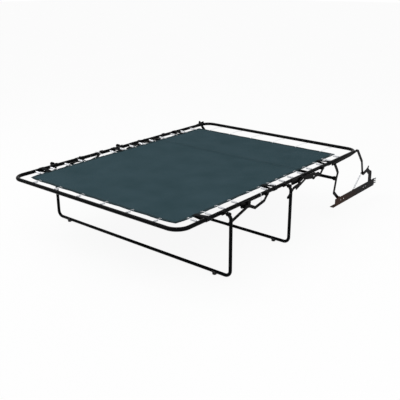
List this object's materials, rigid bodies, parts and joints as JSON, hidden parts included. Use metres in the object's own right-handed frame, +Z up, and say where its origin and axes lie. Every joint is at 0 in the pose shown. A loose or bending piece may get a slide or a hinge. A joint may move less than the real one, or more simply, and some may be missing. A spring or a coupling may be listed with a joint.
{
  "type": "sofa bed mechanism",
  "caption": "Fold-out sofa bed frame: a sprung fabric deck on three tube sections with U-shaped legs, fold links and side rails that bolt inside a sofa.",
  "frame": {"origin": "on the flat outer face of the right mount rail, which bolts to the sofa's arm", "axes": "+X out of the right rail's face, +Y along the bed from foot to head, +Z up"},
  "size_m": [1.4326, 2.109, 0.397],
  "materials": {
    "frame_enamel": "satin black enamel on tube",
    "linkage_enamel": "black enamel on flat steel, a little brown at the edges",
    "deck_fabric": "woven slate-teal polypropylene cloth",
    "spring_steel": "zinc-plated wire",
    "glide_plastic": "matte black"
  },
  "bodies": {
    "mount_rails": {"left_mount_rail": "linkage_enamel", "right_mount_rail": "linkage_enamel", "left_rear_bracket": "linkage_enamel", "right_rear_bracket": "linkage_enamel", "left_lift_spring": "spring_steel", "right_lift_spring": "spring_steel"},
    "front_links": {"left_front_link": "linkage_enamel", "right_front_link": "linkage_enamel", "cross_tube": "frame_enamel"},
    "rear_links": {"left_rear_link": "linkage_enamel", "right_rear_link": "linkage_enamel"},
    "head_section": {"head_frame": "frame_enamel", "left_head_strap": "linkage_enamel", "right_head_strap": "linkage_enamel", "left_head_hinge_plate": "linkage_enamel", "right_head_hinge_plate": "linkage_enamel", "head_deck": "deck_fabric", "head_hooks": "spring_steel"},
    "mid_fold_links": {"left_mid_fold_link": "linkage_enamel", "right_mid_fold_link": "linkage_enamel"},
    "mid_section": {"left_mid_rail": "frame_enamel", "right_mid_rail": "frame_enamel", "left_mid_front_plate": "linkage_enamel", "right_mid_front_plate": "linkage_enamel", "left_mid_rear_plate": "linkage_enamel", "right_mid_rear_plate": "linkage_enamel", "mid_leg_brackets": "linkage_enamel", "mid_deck": "deck_fabric", "mid_hooks": "spring_steel"},
    "mid_leg_unit": {"mid_leg": "frame_enamel", "mid_leg_glides": "glide_plastic"},
    "mid_braces": {"left_mid_brace": "linkage_enamel", "right_mid_brace": "linkage_enamel"},
    "foot_fold_links": {"left_foot_fold_link": "linkage_enamel", "right_foot_fold_link": "linkage_enamel"},
    "foot_section": {"foot_frame": "frame_enamel", "left_foot_hinge_plate": "linkage_enamel", "right_foot_hinge_plate": "linkage_enamel", "foot_leg_brackets": "linkage_enamel", "foot_deck": "deck_fabric", "foot_hooks": "spring_steel"},
    "foot_leg_unit": {"foot_leg": "frame_enamel", "foot_leg_glides": "glide_plastic"},
    "foot_braces": {"left_foot_brace": "linkage_enamel", "right_foot_brace": "linkage_enamel"}
  },
  "joints": [
    {"name": "lift", "type": "hinge", "parent": "mount_rails", "child": "front_links", "pos_m": [-0.7043, -0.267, 0.021], "axis": [-1, 0, 0], "range_deg": [0, 80]},
    {"name": "head_tilt", "type": "hinge", "parent": "front_links", "child": "head_section", "pos_m": [-0.7043, -0.332, 0.258], "axis": [1, 0, 0], "range_deg": [0, 87.7]},
    {"name": "rear_link_swing", "type": "hinge", "parent": "mount_rails", "child": "rear_links", "pos_m": [-0.7043, 0.083, 0.1], "axis": [-1, 0, 0], "range_deg": [0, 92.73]},
    {"name": "mid_fold", "type": "hinge", "parent": "head_section", "child": "mid_fold_links", "pos_m": [-0.7043, -0.466, 0.268], "axis": [-1, 0, 0], "range_deg": [0, 90]},
    {"name": "mid_turn", "type": "hinge", "parent": "mid_fold_links", "child": "mid_section", "pos_m": [-0.7043, -0.72, 0.268], "axis": [-1, 0, 0], "range_deg": [0, 90]},
    {"name": "mid_leg_swing", "type": "hinge", "parent": "mid_section", "child": "mid_leg_unit", "pos_m": [-0.7043, -0.9, 0.268], "axis": [1, 0, 0], "range_deg": [0, 90]},
    {"name": "mid_brace_swing", "type": "hinge", "parent": "mid_leg_unit", "child": "mid_braces", "pos_m": [-0.7043, -0.88, 0.19], "axis": [-1, 0, 0], "range_deg": [0, 135.31]},
    {"name": "foot_fold", "type": "hinge", "parent": "mid_section", "child": "foot_fold_links", "pos_m": [-0.7043, -1.084, 0.268], "axis": [-1, 0, 0], "range_deg": [0, 90]},
    {"name": "foot_turn", "type": "hinge", "parent": "foot_fold_links", "child": "foot_section", "pos_m": [-0.7043, -1.265, 0.268], "axis": [-1, 0, 0], "range_deg": [0, 90]},
    {"name": "foot_leg_swing", "type": "hinge", "parent": "foot_section", "child": "foot_leg_unit", "pos_m": [-0.7043, -1.471, 0.268], "axis": [1, 0, 0], "range_deg": [0, 90]},
    {"name": "foot_brace_swing", "type": "hinge", "parent": "foot_leg_unit", "child": "foot_braces", "pos_m": [-0.7043, -1.451, 0.203], "axis": [-1, 0, 0], "range_deg": [0, 122.95]}
  ],
  "couplings": [
    {"joint": "head_tilt", "follows": "lift", "ratio": 1.0961},
    {"joint": "rear_link_swing", "follows": "lift", "ratio": 1.159},
    {"joint": "mid_turn", "follows": "mid_fold", "ratio": 1},
    {"joint": "mid_leg_swing", "follows": "mid_fold", "ratio": 1},
    {"joint": "mid_brace_swing", "follows": "mid_fold", "ratio": 1.5034},
    {"joint": "foot_turn", "follows": "foot_fold", "ratio": 1},
    {"joint": "foot_leg_swing", "follows": "foot_fold", "ratio": 1},
    {"joint": "foot_brace_swing", "follows": "foot_fold", "ratio": 1.3659}
  ]
}
